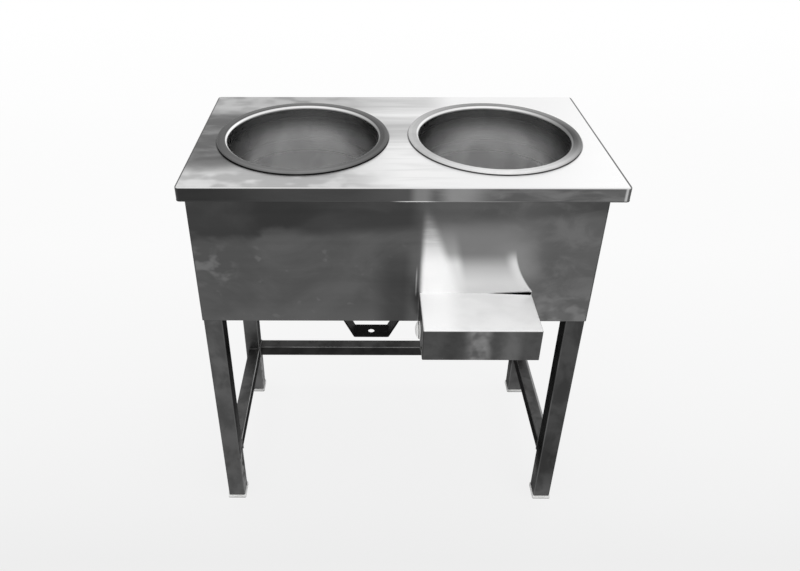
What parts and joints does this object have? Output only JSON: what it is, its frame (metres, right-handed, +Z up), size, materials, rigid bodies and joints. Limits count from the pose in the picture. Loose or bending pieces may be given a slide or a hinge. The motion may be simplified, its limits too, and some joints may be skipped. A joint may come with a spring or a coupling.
{
  "type": "bain marie",
  "caption": "Free-standing electric bain marie: a stainless water tank on tube legs with lift-out round pots, a thermostat control box, an immersion heater and a drain valve.",
  "frame": {"origin": "on the floor, under the middle of the whole outline", "axes": "+Z up, +X to the right of someone standing at the control box, +Y from the control box to the rear"},
  "size_m": [0.813, 0.5364, 0.8687],
  "materials": {
    "top_sheet": "brushed stainless sheet with cloudy stains",
    "wall_sheet": "brushed stainless sheet with smudges",
    "frame_tube": "dull stainless tube",
    "foot_plastic": "white plastic",
    "pot_steel": "bright polished stainless",
    "strap_paint": "black paint",
    "zinc": "plated steel",
    "box_sheet": "bright brushed stainless",
    "knob_plastic": "pale plastic",
    "black_plastic": "black plastic",
    "inner_steel": "plain stainless",
    "brass": "machined brass",
    "copper": "drawn copper",
    "rubber": "black rubber",
    "pale_insulator": "off-white insulator",
    "lead_sleeve": "sleeved wire"
  },
  "bodies": {
    "table": {"top_plate": "top_sheet", "front_wall": "wall_sheet", "rear_wall": "wall_sheet", "left_wall": "wall_sheet", "right_wall": "wall_sheet", "tank_floor": "wall_sheet", "front_left_leg": "frame_tube", "front_right_leg": "frame_tube", "rear_left_leg": "frame_tube", "rear_right_leg": "frame_tube", "left_stretcher": "frame_tube", "right_stretcher": "frame_tube", "cross_stretcher": "frame_tube", "front_left_foot": "foot_plastic", "front_right_foot": "foot_plastic", "rear_left_foot": "foot_plastic", "rear_right_foot": "foot_plastic", "hanger_strap": "strap_paint", "hanger_studs": "zinc", "hanger_nuts": "zinc", "tray_studs": "zinc", "tray_nuts": "zinc", "cover_screws": "zinc", "thermostat_nut": "zinc", "earth_stud": "zinc", "heater_terminals": "zinc", "control_cover": "box_sheet", "control_tray": "box_sheet", "thermostat_body": "black_plastic", "gland_body": "black_plastic", "gland_lock_nut": "black_plastic", "gland_dome_nut": "black_plastic", "heater_element": "inner_steel", "sensor_pocket": "inner_steel", "drain_spud": "inner_steel", "heater_head": "brass", "heater_nut": "brass", "drain_nut": "brass", "valve_body": "brass", "valve_tail": "brass", "thermostat_sensor": "copper", "heater_gasket": "rubber", "drain_washer": "rubber", "terminal_block": "pale_insulator", "valve_seats": "pale_insulator", "control_leads": "lead_sleeve"},
    "left_pot": {"left_pot": "pot_steel"},
    "right_pot": {"right_pot": "pot_steel"},
    "knob": {"thermostat_knob": "knob_plastic", "thermostat_spindle": "inner_steel"},
    "drain_handle": {"valve_ball": "inner_steel", "valve_stem": "inner_steel", "drain_lever": "inner_steel", "lever_nut": "zinc", "lever_grip": "black_plastic"}
  },
  "joints": [
    {"name": "left_pot_lift", "type": "slide", "parent": "table", "child": "left_pot", "axis": [0, 0, 1], "range_m": [0, 0.26]},
    {"name": "right_pot_lift", "type": "slide", "parent": "table", "child": "right_pot", "axis": [0, 0, 1], "range_m": [0, 0.26]},
    {"name": "knob_turn", "type": "hinge", "parent": "table", "child": "knob", "pos_m": [0.04, -0.2105, 0.5705], "axis": [1, 0, 0], "range_deg": [0, 270]},
    {"name": "drain_turn", "type": "hinge", "parent": "table", "child": "drain_handle", "pos_m": [-0.25, 0.14575, 0.508], "axis": [-1, 0, 0], "range_deg": [0, 90]}
  ]
}
